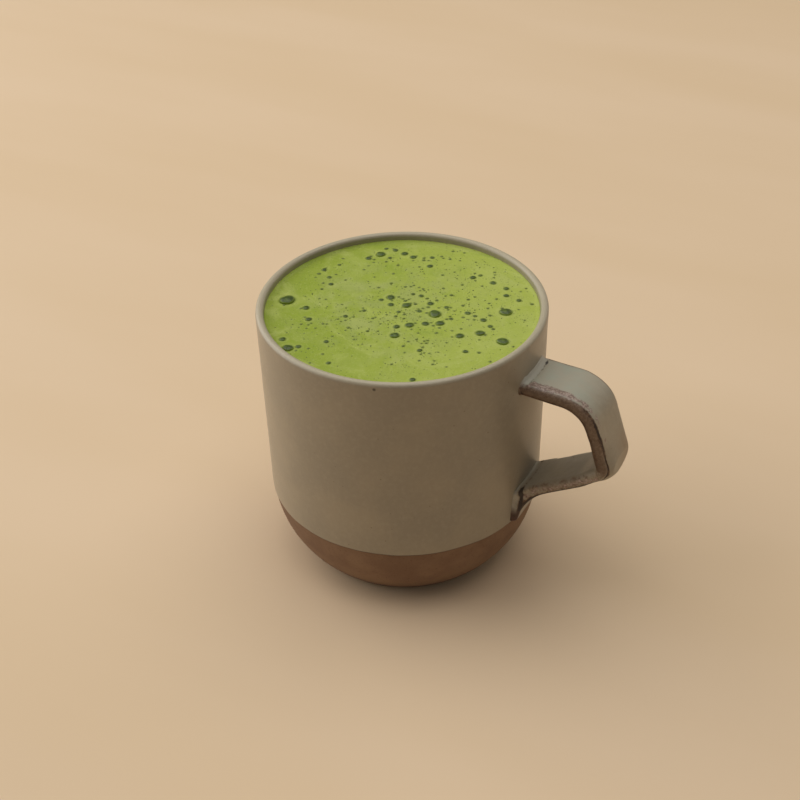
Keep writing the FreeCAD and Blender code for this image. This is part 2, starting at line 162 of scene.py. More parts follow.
def outside(z):
    """Radius of the glazed outside of the cup at a height."""
    z = np.asarray(z, dtype=float)
    wall = SHOULDER + (z - SHOULDER_Z) / (HEIGHT - LIP - SHOULDER_Z) * (RIM - SHOULDER)
    under = UNDER_X + np.sqrt(np.maximum(UNDER**2 - (z - UNDER_Z) ** 2, 0))
    return np.where(z > SHOULDER_Z, wall, under)


# ------------------------------------------------------------------ cup
def cup_profile():
    """(radius, height) from the middle of the underside, up the outside, over the lip and down inside."""
    recess_edge, ring_edge = FOOT - 5.0, FOOT - 4.35
    # the standing ring: how far in from the foot's edge, and how high
    ring = [(4.1, 0.06), (3.7, 0.0), (2.5, 0.0), (1.2, 0.0), (0.55, 0.03), (0.2, 0.16), (-0.06, 0.42)]
    out = [(0.0, RECESS)] + run((0, RECESS), (recess_edge, RECESS), 8)
    out += run((recess_edge, RECESS), (ring_edge, 0.25), 3)
    out += [(FOOT - inward, z) for inward, z in ring]
    # the rows lie closest round the glaze's edge
    heights = list(np.linspace(0.8, GLAZE_Z - 2.0, 36)) + list(np.linspace(GLAZE_Z - 1.8, GLAZE_Z + 1.8, 46))
    heights += list(np.linspace(GLAZE_Z + 2.2, HEIGHT - LIP, 84))
    out += [(float(outside(z)), float(z)) for z in heights]
    out += arc(RIM - LIP, HEIGHT - LIP, LIP, 0, 180, 28)
    out += run((INNER_TOP, HEIGHT - LIP), (INNER_LOW, CORNER_Z), 28)
    out += arc(INNER_LOW - CORNER, CORNER_Z, CORNER, 0, -90, 12)
    out += run((INNER_LOW - CORNER, FLOOR), (0, FLOOR), 5)
    return out


def lathe(profile, around):
    """Points and faces of a profile turned round Z, whose two ends lie on the axis."""
    prof = np.array(profile)
    ang = np.linspace(0, 2 * math.pi, around, endpoint=False)
    body = prof[1:-1]
    pts = np.stack([
        np.outer(body[:, 0], np.cos(ang)), np.outer(body[:, 0], np.sin(ang)),
        np.outer(body[:, 1], np.ones(around))], axis=-1).reshape(-1, 3)
    pts = np.vstack([pts, [0, 0, prof[0][1]], [0, 0, prof[-1][1]]])
    loops = loops_from(0, len(body), around)
    faces = [face for a, b in zip(loops, loops[1:]) for face in strip(a, b)]
    faces += fan(len(pts) - 2, loops[0][::-1]) + fan(len(pts) - 1, loops[-1])
    return pts, faces


def make_cup():
    """The cup, with the glaze's edge as a step in its surface."""
    pts, faces = lathe(cup_profile(), 384)
    rad = np.hypot(pts[:, 0], pts[:, 1])
    z = pts[:, 2]
    out_side = rad > outside(np.clip(z, 0, HEIGHT)) - 0.5
    # the glaze ends in a soft step a little above or below its line all round
    edge_z = GLAZE_Z + 0.22 * rough(np.column_stack([pts[:, 0], pts[:, 1], 0 * rad]), 9.0, 3)
    coat = step(-0.22, 0.30, z - edge_z)
    move = np.where(out_side & (z > 0.3), -GLAZE * (1 - coat), 0.0)
    # hand work and the glaze leave the wall a little uneven, inward of the true form
    wave = 0.05 * rough(pts, 16.0, 5) - 0.05
    near_lip = step(HEIGHT - 6, HEIGHT - 2, z)
    move += np.where(out_side & (z > 1.5), wave * (1 - near_lip), 0.0)
    pts[:, :2] *= np.where(rad > 1, (rad + move) / np.maximum(rad, 1), 1.0)[:, None]
    far_from_line = 60.0
    return make("mug_cup", pts, faces, {
        "coat": np.where(out_side, coat, np.where(z > RECESS + 1.0, 1.0, 0.0)),
        "line": np.where(out_side, z - edge_z, far_from_line),
    })


# ------------------------------------------------------------------ strap handle: its form
# headings of the straight stretches, in degrees from +X towards +Z
ARM, GRIP, LOW, TAIL = -2.0, -70.0, -149.0, -100.0
# (x, z) on the outer face: on the arm's top, where grip and lower arm would meet, and at the tail's end
ARM_TOP, OUT_CORNER, TAIL_END = (RIM, HEIGHT - 11.2), (RIM + 28.6, 48.6), (RIM - 0.4, 23.9)
# the outer face's radius at the two bends, and at the hollow one before the tail
UPPER_BEND, LOWER_BEND, TAIL_BEND = 12.4, 6.2, 16.0
# the strap starts inside the wall
START_X = 40.6
# half the strap's width at the start, after the upper bend, after the lower one, at the tail and its end
HALF_WIDTHS = [8.6, 8.7, 7.7, 7.8, 9.75]
# the tail's end is rounded off over this length
BLUNT = 0.9
# the way round the edge, from the outer face to the inner face
SIDE = math.pi * STRAP_ROUND + STRAP - 2 * STRAP_ROUND


def heading(deg):
    """The direction of a heading, as (x, z)."""
    return (math.cos(math.radians(deg)), math.sin(math.radians(deg)))


def meet(p, a, q, b):
    """Where the line through p with heading a crosses the line through q with heading b."""
    ua, ub = heading(a), heading(b)
    t = ((q[0] - p[0]) * ub[1] - (q[1] - p[1]) * ub[0]) / (ua[0] * ub[1] - ua[1] * ub[0])
    return (p[0] + t * ua[0], p[1] + t * ua[1])


def beside(p, a, d):
    """The point p moved d to the left of a heading."""
    ua = heading(a)
    return (p[0] - d * ua[1], p[1] + d * ua[0])


def strap_path():
    """The strap's middle line: its points, headings, lengths so far, and the lengths at each bend's ends."""
    half = STRAP / 2
    arm, grip = beside(ARM_TOP, ARM, -half), beside(OUT_CORNER, GRIP, -half)
    low, end = beside(OUT_CORNER, LOW, -half), beside(TAIL_END, TAIL, -half)
    corners = [
        (meet(arm, ARM, grip, GRIP), ARM, GRIP, UPPER_BEND - half),
        (meet(grip, GRIP, low, LOW), GRIP, LOW, LOWER_BEND - half),
        (meet(low, LOW, end, TAIL), LOW, TAIL, TAIL_BEND + half),
    ]
    path, head, marks = [meet(arm, ARM, (START_X, 0), 90)], [ARM], []

    def straight(to, deg):
        for q in run(path[-1], to, max(2, int(math.dist(path[-1], to) / 0.3))):
            path.append(q)
            head.append(deg)

    for corner, a, b, r in corners:
        half_turn = math.radians(b - a) / 2
        cut = r * abs(math.tan(half_turn))
        turn_start = (corner[0] - cut * heading(a)[0], corner[1] - cut * heading(a)[1])
        side = 1 if half_turn > 0 else -1
        c = beside(turn_start, a, side * r)
        straight(turn_start, a)
        marks.append(len(path) - 1)
        n = max(8, int(r * abs(2 * half_turn) / 0.25))
        for k in range(1, n + 1):
            h = a + (b - a) * k / n
            path.append(beside(c, h, -side * r))
            head.append(h)
        marks.append(len(path) - 1)
    straight(end, TAIL)
    path = np.array(path)
    gone = np.concatenate([[0], np.cumsum(np.hypot(*np.diff(path, axis=0).T))])
    return path, head, gone, [gone[m] for m in marks]


def section(a, b, r, flat_a=26, flat_b=3, turn=14):
    """Points, normals and edge distances of a section 2a wide and 2b thick, with edges rounded to r.

    The edge distance is 0 where the outer face ends. It is below 0 on the outer face, and grows over
    the side to the inner face.
    """
    pts, nor, edge = [], [], []
    quarter, flat = 0.5 * math.pi * r, 2 * b - 2 * r

    def add(x, y, nx, ny):
        pts.append((x, y))
        nor.append((nx, ny))
        if ny > 0.9999:
            edge.append(abs(x) - (a - r))
        elif ny < -0.9999:
            edge.append(2 * quarter + flat + (a - r) - abs(x))
        elif abs(ny) < 1e-9:
            edge.append(quarter + max(b - r - y, 0.0))
        elif ny > 0:
            edge.append(r * math.acos(ny))
        else:
            edge.append(quarter + flat + r * math.asin(-ny))

    corners = [(a - r, b - r, 0, (-a + r, b), flat_a), (-a + r, b - r, 90, (-a, -b + r), flat_b),
               (-a + r, -b + r, 180, (a - r, -b), flat_a), (a - r, -b + r, 270, (a, b - r), flat_b)]
    for cx, cy, a0, next_corner, count in corners:
        for k in range(turn + 1):
            t = math.radians(a0 + 90 * k / turn)
            nx, ny = round(math.cos(t), 9), round(math.sin(t), 9)
            add(cx + r * nx, cy + r * ny, nx, ny)
        last, last_normal = pts[-1], nor[-1]
        for x, y in run(last, next_corner, count)[:-1]:
            add(x, y, *last_normal)
    return np.array(pts), np.array(nor), np.array(edge)


def off_wall(q):
    """Distance in front of the cup's outside."""
    r = np.hypot(q[:, 0], q[:, 1])
    above = r - outside(np.maximum(q[:, 2], SHOULDER_Z))
    below = np.hypot(r - UNDER_X, q[:, 2] - UNDER_Z) - UNDER
    return np.where(q[:, 2] > SHOULDER_Z, above, below)


def strap_surface():
    """The plain strap: points and normals, and where each point is on it.

    along is the way from the start, across goes from -1 to 1 over the width, e is the edge distance
    and d is the distance in front of the cup.
    """
    path, head, gone, marks = strap_path()
    s = SimpleNamespace(path=path, gone=gone, end=gone[-1])
    s.up0, s.up1, s.low0, s.low1, s.tail0, s.tail1 = marks
    half_width = np.interp(gone, [0, s.up1, s.low1, s.tail0, s.end], HALF_WIDTHS)
    points, normals, across, along, edge = [], [], [], [], []
    for place, deg, way, a in zip(path, head, gone, half_width):
        left = s.end - way
        shrink = BLUNT - math.sqrt(max(BLUNT**2 - (BLUNT - left) ** 2, 0)) if left < BLUNT else 0.0
        b = STRAP / 2 - shrink * 0.5
        sec, nor, edge_at = section(a - shrink, b, min(STRAP_ROUND, b - 0.01))
        ux, uz = heading(deg)
        # the width is along Y, and the outer face is to the left of the heading
        thick, wide = np.array([-uz, 0, ux]), np.array([0, 1.0, 0])
        points.append(np.array([place[0], 0, place[1]]) + sec[:, :1] * wide + sec[:, 1:] * thick)
        normals.append(nor[:, :1] * wide + nor[:, 1:] * thick)
        across.append(sec[:, 0] / a)
        along.append(np.full(len(sec), way))
        edge.append(edge_at)
    s.ring = len(points[0])
    s.P, s.N = np.concatenate(points), np.concatenate(normals)
    s.across, s.along, s.e = map(np.concatenate, (across, along, edge))
    s.d = off_wall(s.P)
    return s


def strap_zones(s):
    """Soft masks from 0 to 1 for the stretches and faces of the strap."""
    s.near = s.across < 0
    s.first_half = s.along < 0.5 * s.end
    s.upper_arm = 1 - step(s.up0 - 2, s.up1 + 2, s.along)
    s.grip = step(s.up0 - 1, s.up1, s.along) * (1 - step(s.low0 - 0.5, s.low1 + 0.5, s.along))
    s.lower = step(s.low0, s.low1 + 1, s.along)
    s.tail = step(s.tail0 - 2, s.tail1, s.along)
    s.on_outer, s.on_inner = 1 - step(-0.6, 1.4, s.e), step(SIDE - 1.6, SIDE + 0.4, s.e)
    s.on_side = (1 - s.on_outer) * (1 - s.on_inner)
    s.outward = 1 - step(0.2, SIDE / 2, s.e)
    s.bend = step(s.low0 - 9, s.low0, s.along) * (1 - step(s.low1, s.low1 + 7, s.along))


def strap_relief(s):
    """How far each point of the plain strap moves along its normal."""
    # clay worked into the joints: at the top one mostly over the arm, at the lower one along both sides
    fade = 1 - step(s.tail0 + 1, s.tail1 + 2, s.along)
    flare = np.where(s.first_half, 0.85 * s.on_outer + 0.25, 1.5 * s.on_inner + 0.9 * fade * s.on_side + 0.02)
    into = np.clip(1 - np.maximum(s.d, 0) / flare, 0, 1)
    bulge = flare * (1 - np.sqrt(np.maximum(1 - into**2, 0)))
    crease = 0.14 * band(s.d, np.where(s.first_half, 1.75, 1.9), 0.4)
    crease *= np.where(s.first_half, s.on_outer, s.on_side)
    joint = np.where(s.along > s.end - 1.0, 0.0, np.clip(bulge, 0, 1.5) - crease)

    # hand-pulled clay is never quite even
    uneven = 0.09 * rough(s.P, 9.0, 11) + 0.03 * rough(s.P, 2.2, 12) - 0.08

    # the lower bend is fuller in the middle and drawn in along its edges, and its inner corner is filled
    past_turn = 1 - step(s.low1 + 1, s.low1 + 9, s.along)
    low_turn = step(s.low0, 0.5 * (s.low0 + s.low1), s.along) * past_turn
    crown = -(0.15 + np.where(s.near, 2.0, 0.15) * s.bend) * np.abs(s.across) ** 3 * s.outward
    crown += (0.3 * s.bend + 0.7 * low_turn) * s.outward * (1 - s.across**2)
    crown += 0.85 * s.bend * step(SIDE / 2, SIDE, s.e)

    # clay fills the corner above the lower arm: its top runs straight into the wall
    x, z = s.path[int(np.searchsorted(s.gone, s.tail0))]
    upward = np.array([heading(LOW)[1], 0, -heading(LOW)[0]])
    on_top = np.array([x, 0, z]) + upward * STRAP / 2
    lift = ((on_top - s.P) @ upward) / np.maximum(s.N @ upward, 0.6)
    wedge = np.clip(lift, 0, 3.0) * step(SIDE - 2.4, SIDE - 0.3, s.e)
    return joint + np.where(s.along > s.tail0, wedge, 0.0) + np.where(s.d > 0.3, uneven + crown, 0.0)


def strap_looks(s):
    """Where the glaze thins and breaks brown over the edges, where shade is painted on the sides, and what
    lies round the joints.
    """
    near, far, first, e, d = s.near, ~s.near, s.first_half, s.e, s.d
    taupe = s.on_side * (0.80 * s.upper_arm + 0.75 * s.grip + 0.45 * s.lower)
    # painted shade on the half of each side that faces down: the lower half under the upper arm and grip, and
    # the half next to the underside on the lower arm
    painted_shade = near * s.on_side * (s.upper_arm + s.grip) * step(1.5, 4.2, e)
    painted_shade += s.lower * s.on_side * (1 - step(0.5, 4.0, e))

    brown = near * s.grip * band(e, 0.75, 0.8) * 0.95
    brown += near * band(e, 4.15, 0.75) * (0.80 * s.upper_arm + 0.65 * s.grip)
    brown += far * band(e, 0.95, 0.45) * (0.80 * s.upper_arm + 0.85 * s.grip) + far * band(e, 4.6, 0.8) * 0.6
    brown += s.lower * (band(e, 1.2, 0.8) * 1.5 + band(e, 2.8, 1.2) * 0.35)
    brown += s.tail * s.on_side * 0.40

    pink = near * s.upper_arm * band(e, -0.5, 1.6) + near * s.grip * band(e, -1.2, 0.9) * 0.45
    pink += s.lower * near * band(e, 3.4, 1.3) * 0.6
    pink *= step(0.8, 2.6, d)

    # the dark line round each joint, and darker spots at the upper one
    low_line = (1 - step(s.tail0 + 10, s.tail1 + 2, s.along)) * band(d, 2.3, 0.7)
    low_line *= 1.25 * s.on_side + 0.50 * s.on_inner
    line = np.where(first, 0.56 * band(d, 1.7, 0.42) * s.on_outer, low_line)
    line += near * first * 0.72 * band(d, 0.6, 0.7) * band(e, 1.6, 1.5)
    line += near * first * 0.80 * band(d, 0.7, 0.8) * band(e, 3.9, 0.8)
    line += far * first * 0.80 * band(d, 1.8, 0.4) * band(e, -1.2, 0.7)

    # bare rusty clay down the tail, and the pale bead between the joint lines and the wall: thin glaze on the
    # fillet, with a painted highlight where it faces the light
    rust = (1 - s.on_outer) * step(s.tail0 + 8, s.tail0 + 14, s.along)
    rust += step(s.end - 2.0, s.end - 0.4, s.along) * 0.9 * (1 - s.on_inner)
    upper_bead = (1 - step(1.2, 2.2, e)) * (1 - step(1.0, 1.7, d))
    low_bead = 1.5 * (1 - step(1.1, 1.7, d)) * (1 - step(s.tail0 + 9, s.tail0 + 14, s.along))
    return {
        "taupe": taupe, "painted_shade": painted_shade, "rust": rust, "brown": brown, "pink": pink, "line": line,
        "pale": step(-1.5, 0.0, d) * np.where(first, upper_bead, low_bead),
        "upper": s.upper_arm * s.on_outer, "tan": s.bend * s.outward * step(-0.5, 0.8, s.across),
    }


def make_handle():
    """The strap handle, with the clay worked into the cup at both joints."""
    s = strap_surface()
    strap_zones(s)
    points = s.P + s.N * strap_relief(s)[:, None]
    # the grip stays inside the CAD model's box
    points[:, 0] = np.minimum(points[:, 0], cad_hi[0] / MM - 0.05)
    loops = loops_from(0, len(s.path), s.ring)
    faces = [face for a, b in zip(loops, loops[1:]) for face in strip(a, b)]
    faces += fan(len(points), loops[0][::-1]) + fan(len(points) + 1, loops[-1])
    points = np.vstack([points, points[:s.ring].mean(0), points[-s.ring:].mean(0)])
    looks = {key: np.clip(values, 0, 1) for key, values in strap_looks(s).items()}
    return make("mug_handle", points, faces, {
        key: np.concatenate([values, [values[0], values[-1]]]) for key, values in looks.items()})


# ------------------------------------------------------------------ foam
# the foam's edge lies just inside the wall, and so do the sides and bottom of the drink
SURFACE = INNER_TOP + 0.05
INTO_WALL, INTO_FLOOR = 0.12, 0.1

# (across, away, radius) from the drink's middle: the bubbles large enough to be told apart
LARGE = [
    (-33.7, 8.0, 2.2), (9.5, -0.5, 1.75), (30.0, -0.5, 1.75), (28.0, -14.0, 1.6), (-32.3, -14.5, 1.5),
    (-6.0, 30.5, 1.35), (-2.3, -10.0, 1.3), (1.4, 30.5, 1.0), (4.0, 28.5, 0.95), (-9.8, 28.5, 0.9),
    (-1.4, 32.5, 0.8), (-4.3, 33.5, 0.6), (-3.2, 28.5, 0.6), (-28.0, 4.0, 1.0), (-27.0, -1.5, 0.9),
    (-23.3, 23.0, 0.8), (-24.8, 21.0, 0.55), (-21.6, 19.0, 0.7), (-21.0, 15.5, 0.7), (-18.7, 25.5, 0.5),
    (-3.2, 8.0, 1.2), (-3.2, 4.5, 0.9), (1.4, 4.0, 1.25), (8.4, 4.5, 0.95), (10.8, -5.0, 1.2),
    (2.0, -5.5, 1.2), (-1.7, -6.0, 0.9), (6.6, -5.0, 1.0), (19.0, -0.5, 0.85), (23.3, -4.0, 0.9),
    (21.9, -10.0, 1.25), (16.1, -11.0, 1.15), (-34.0, -10.5, 0.9), (-29.4, -14.0, 0.8), (-21.6, -12.0, 0.7),
    (-16.4, -0.5, 0.7), (2.3, -29.5, 0.8), (4.6, -17.0, 0.7), (17.3, -18.0, 0.75), (21.6, 17.0, 0.9),
    (23.9, 18.0, 0.6), (27.4, 14.0, 0.9), (31.1, 11.0, 0.8), (30.8, 7.5, 0.8), (34.3, 5.0, 0.75),
    (8.9, 23.5, 0.85), (9.8, 28.0, 0.7), (-3.7, -34.5, 0.55), (0.9, -34.0, 0.55), (-20.7, -21.5, 0.65),
    (5.8, 8.5, 0.7), (3.4, 9.5, 0.6), (-11.0, 2.0, 0.6), (13.0, 2.5, 0.7), (14.0, -3.0, 0.6),
    (21.0, -2.0, 0.6), (25.0, -7.0, 0.7), (-6.0, 7.0, 0.7), (5.0, 1.0, 0.7), (-1.0, 1.0, 0.6),
]
# the list was judged too short in the away direction; this stretches and shifts it
AWAY_STRETCH, AWAY_SHIFT = 1.14, -2.6
# (across, away, spread across, spread away, how many, smallest, largest radius): the fine ones
CLUSTERS = [
    (0, 30, 9, 3.0, 46, 0.18, 0.5), (4, 0, 10, 8, 190, 0.16, 0.50), (24, -5, 8, 9, 70, 0.16, 0.5),
    (-25, 18, 6, 6, 26, 0.16, 0.42), (-28, -8, 6, 8, 34, 0.16, 0.42), (22, 20, 9, 8, 46, 0.16, 0.42),
    (-10, -8, 11, 8, 150, 0.13, 0.34), (6, -24, 12, 6, 44, 0.14, 0.4), (0, 0, 24, 22, 330, 0.12, 0.32),
    (10, 27, 8, 5, 30, 0.16, 0.42), (33, -2, 3, 9, 20, 0.16, 0.42),
]
# large bubbles keep this far from the foam's edge, and fine ones that far
LARGE_GAP, FINE_GAP = 1.0, 1.6


def settled(over, off, radius):
    """A listed bubble where it lies on the surface."""
    off = AWAY_STRETCH * off + AWAY_SHIFT
    pull = min(1.0, (SURFACE - LARGE_GAP - radius) / math.hypot(over, off))
    return [over * pull, off * pull, radius]


def place_bubbles(rng):
    """The x, y and radius of every bubble; fine ones hardly touch what is there already."""
    bubbles = [settled(*bubble) for bubble in LARGE]
    for over, off, spread_over, spread_off, many, small, big in CLUSTERS:
        for _ in range(many):
            for _try in range(30):
                x, y = over + spread_over * rng.normal(), off + spread_off * rng.normal()
                r = small + (big - small) * rng.random() ** 2.2
                if math.hypot(x, y) > SURFACE - FINE_GAP - r:
                    continue
                if all((x - q[0]) ** 2 + (y - q[1]) ** 2 > (r + q[2]) ** 2 * 0.9 for q in bubbles):
                    bubbles.append([x, y, r])
                    break
    over, off, radius = np.array(bubbles).T
    return np.column_stack([over * ACROSS.x + off * AWAY.x, over * ACROSS.y + off * AWAY.y, radius])


def surface_height(x, y):
    """Height of the foam above the level, which climbs the wall at its edge."""
    from_edge = np.hypot(x, y) - (SURFACE - 1.9)
    return 0.45 * np.clip(from_edge / 1.8, 0, 1.05) ** 2


def disc_grid(cells, radius):
    """x and y of a square grid pressed into a disc, so that its cells stay nearly square."""
    u = np.linspace(-1, 1, cells + 1)
    gx, gy = np.meshgrid(u, u, indexing="ij")
    wide = np.abs(gx) >= np.abs(gy)
    phi = np.where(wide, np.where(gx == 0, 0, math.pi / 4 * gy / np.where(gx == 0, 1, gx)),
                   math.pi / 2 - math.pi / 4 * gx / np.where(gy == 0, 1, gy))
    signed = np.maximum(np.abs(gx), np.abs(gy)) * np.where(wide, np.sign(gx), np.sign(gy)) * radius
    return (signed * np.cos(phi)).ravel(), (signed * np.sin(phi)).ravel()


def foam_top(x, y, bubbles):
    """Height above the level, and the pale film round each bubble and the painted shade in the dimple at its
    foot.
    """
    flat = np.column_stack([x, y, 0 * x])
    z = surface_height(x, y) + 0.07 * rough(flat, 7.0, 21) + 0.03 * rough(flat, 1.4, 22)
    film, dimple_shade = np.zeros_like(x), np.zeros_like(x)
    for cx, cy, r in bubbles:
        if r < 0.3:
            continue
        away = np.hypot(x - cx, y - cy)
        m = away < 2.2 * r + 0.4
        away = away[m]
        soft = 0.1
        z[m] -= 0.22 * r * band(away, 0, 0.9 * r)
        z[m] += 0.10 * min(r, 1.0) * band(away, 1.18 * r, 0.28 * r + soft)
        film[m] = np.maximum(film[m], band(away, 1.5 * r, 0.35 * r + soft) * min(1.0, r))
        # painted shade in the dimple round the bubble's foot
        dimple_shade[m] = np.maximum(dimple_shade[m], 1 - step(r, 1.25 * r + 0.15, away))
    return z, film, dimple_shade


def make_foam(bubbles):
    """The drink: foam on top, and sides and bottom that reach just into the wall."""
    cells = 270
    x, y = disc_grid(cells, SURFACE)
    z, film, dimple_shade = foam_top(x, y, bubbles)
    points = [np.column_stack([x, y, LEVEL + z])]
    index = np.arange((cells + 1) ** 2).reshape(cells + 1, cells + 1)
    faces = [(index[i, j], index[i + 1, j], index[i + 1, j + 1], index[i, j + 1])
             for i in range(cells) for j in range(cells)]
    edge = list(index[:-1, 0]) + list(index[-1, :-1]) + list(index[:0:-1, -1]) + list(index[0, :0:-1])
    ang = np.arctan2(y[edge], x[edge])

    # (radius, height) of the rings down the wall and round the inner corner
    wall = [LEVEL + (CORNER_Z - LEVEL) * k / 8 for k in range(1, 9)]
    draft = (INNER_TOP - INNER_LOW) / (HEIGHT - LIP - CORNER_Z)
    rings = [(INNER_LOW + draft * (height - CORNER_Z) + INTO_WALL, height) for height in wall]
    for k in range(1, 9):
        t = math.radians(90 * k / 8)
        rings.append((INNER_LOW - CORNER + (CORNER + INTO_WALL) * math.cos(t),
                      CORNER_Z - (CORNER + INTO_FLOOR) * math.sin(t)))
    last = edge
    for loop, (radius, height) in zip(loops_from(index.size, len(rings), len(ang)), rings):
        ring = [radius * np.cos(ang), radius * np.sin(ang), np.full(len(ang), height)]
        points.append(np.column_stack(ring))
        faces += strip(loop, last)
        last = loop
    points.append(np.array([[0, 0, FLOOR - INTO_FLOOR]]))
    points = np.concatenate(points)
    faces += fan(len(points) - 1, last[::-1])
    below = np.zeros(len(points) - len(film))
    return make("matcha_foam", points, faces, {
        "film": np.concatenate([film, below]), "dimple_shade": np.concatenate([dimple_shade, below])})


# ------------------------------------------------------------------ bubble skins
def make_skins(bubbles, rng):
    """Low domes on the foam, as dark as the drink that shows through the real ones."""
    pts, faces, rim, big = [], [], [], []
    for cx, cy, r in bubbles:
        around, levels = (28, 7) if r > 1 else (18, 5) if r > 0.5 else (10, 3)
        tall = 0.44 * r
        phase = rng.random(3) * 6.28
        tilt = rng.uniform(-1, 1, 2) * 0.05
        stretch = 1 + 0.12 * rng.random()
        way = rng.random() * 3.14
        z0 = LEVEL + float(surface_height(cx, cy)) - 0.02
        first = len(pts)
        for lev in range(levels):
            rise = lev / levels * math.pi / 2
            for k in range(around):
                t = 2 * math.pi * k / around
                wobble = 1 + 0.09 * math.sin(2 * t + phase[0]) + 0.07 * math.sin(3 * t + phase[1])
                px = r * math.cos(rise) * wobble * math.cos(t) * stretch
                py = r * math.cos(rise) * wobble * math.sin(t) / stretch
                qx = px * math.cos(way) - py * math.sin(way)
                qy = px * math.sin(way) + py * math.cos(way)
                pts.append((cx + qx, cy + qy, z0 + tall * math.sin(rise) + tilt[0] * qx + tilt[1] * qy))
                rim.append(math.cos(rise))
        tip, bottom = len(pts), len(pts) + 1
        pts += [(cx, cy, z0 + tall), (cx, cy, z0 - 0.35 * r)]
        rim += [0.0, 0.5]
        big += [r] * (len(pts) - first)
        loops = loops_from(first, levels, around)
        for a, b in zip(loops, loops[1:]):
            faces += strip(a, b)
        faces += fan(tip, loops[-1]) + fan(bottom, loops[0][::-1])
    return make("matcha_bubbles", pts, faces, {"rim": rim, "big": big})


# ------------------------------------------------------------------ materials
class Mat:
    """Short names for the nodes of one material."""

    def __init__(self, name):
        self.mat = bpy.data.materials.new(name)
        self.mat.use_nodes = True
        self.nodes = self.mat.node_tree.nodes
        self.nodes.clear()
        self.out = self.nodes.new("ShaderNodeOutputMaterial")
        self.shader = self.nodes.new("ShaderNodeBsdfPrincipled")
        self.link(self.shader.outputs[0], self.out.inputs[0])
        self.place = self.nodes.new("ShaderNodeTexCoord").outputs["Object"]

    def link(self, a, b):
        self.mat.node_tree.links.new(a, b)

    def put(self, socket, value):
        if isinstance(value, bpy.types.NodeSocket):
            self.link(value, socket)
        else:
            socket.default_value = value

    def set(self, **values):
        for key, value in values.items():
            self.put(self.shader.inputs[key.replace("_", " ")], value)

    def math(self, op, a, b=0.0):
        n = self.nodes.new("ShaderNodeMath")
        n.operation = op
        self.put(n.inputs[0], a)
        self.put(n.inputs[1], b)
        return n.outputs[0]

    def times(self, *factors):
        """The product of several values."""
        product = factors[0]
        for factor in factors[1:]:
            product = self.math("MULTIPLY", product, factor)
        return product

    def attr(self, name):
        n = self.nodes.new("ShaderNodeAttribute")
        n.attribute_name = name
        return n.outputs["Fac"]

    def noise(self, size, detail=3.0, roughness=0.55, squash=(1, 1, 1), warp=0.0):
        """Noise with features of about size mm."""
        n = self.nodes.new("ShaderNodeTexNoise")
        m = self.nodes.new("ShaderNodeMapping")
        m.inputs["Scale"].default_value = [1 / (size * MM) * s for s in squash]
        self.link(self.place, m.inputs[0])
        self.link(m.outputs[0], n.inputs["Vector"])
        n.inputs["Scale"].default_value = 1.0
        n.inputs["Detail"].default_value = detail
        n.inputs["Roughness"].default_value = roughness
        n.inputs["Distortion"].default_value = warp
        return n.outputs["Fac"]

    def cells(self, size):
        """Distance from scattered points about size mm apart."""
        n = self.nodes.new("ShaderNodeTexVoronoi")
        n.inputs["Scale"].default_value = 1 / (size * MM)
        self.link(self.place, n.inputs["Vector"])
        return n.outputs["Distance"]

    def fit(self, value, a, b, c=0.0, d=1.0):
        """The value from a to b taken smoothly to c to d."""
        n = self.nodes.new("ShaderNodeMapRange")
        n.interpolation_type = "SMOOTHSTEP"
        for key, v in (("Value", value), ("From Min", a), ("From Max", b), ("To Min", c), ("To Max", d)):
            self.put(n.inputs[key], v)
        return n.outputs[0]

    def mix(self, fac, a, b):
        n = self.nodes.new("ShaderNodeMix")
        n.data_type = "RGBA"
        self.put(n.inputs[0], fac)
        self.put(n.inputs[6], a)
        self.put(n.inputs[7], b)
        return n.outputs[2]

    def bump(self, height, distance, strength, under=None):
        n = self.nodes.new("ShaderNodeBump")
        n.inputs["Strength"].default_value = strength
        n.inputs["Distance"].default_value = distance * MM
        self.put(n.inputs["Height"], height)
        if under is not None:
            self.link(under, n.inputs["Normal"])
        return n.outputs[0]

    def height(self):
        n = self.nodes.new("ShaderNodeSeparateXYZ")
        self.link(self.place, n.inputs[0])
        return n.outputs["Z"]

    def vector(self, operation, other=None, out="Value"):
        """A number worked out from the place on the object."""
        n = self.nodes.new("ShaderNodeVectorMath")
        n.operation = operation
        self.link(self.place, n.inputs[0])
        if other is not None:
            n.inputs[1].default_value = other
        return n.outputs[out]

    def near_point(self, x, y, z):
        return self.vector("DISTANCE", (x * MM, y * MM, z * MM))


def glaze_coat(m):
    """Colour of the satin glaze, and the fine noise in it."""
    cloud = m.noise(22, 4, 0.6)
    fine = m.noise(1.4, 4, 0.65)
    tone = m.mix(m.fit(cloud, 0.35, 0.68), lin(146, 135, 116), lin(156, 143, 121))
    tone = m.mix(m.times(m.fit(fine, 0.40, 0.75), 0.35), tone, lin(168, 156, 134))
    iron_speck = m.fit(m.cells(2.6), 0.05, 0.11, 1, 0)
    few = m.fit(m.noise(3.1, 1), 0.54, 0.60)
    return m.mix(m.times(iron_speck, few, 0.55), tone, lin(92, 74, 55)), fine


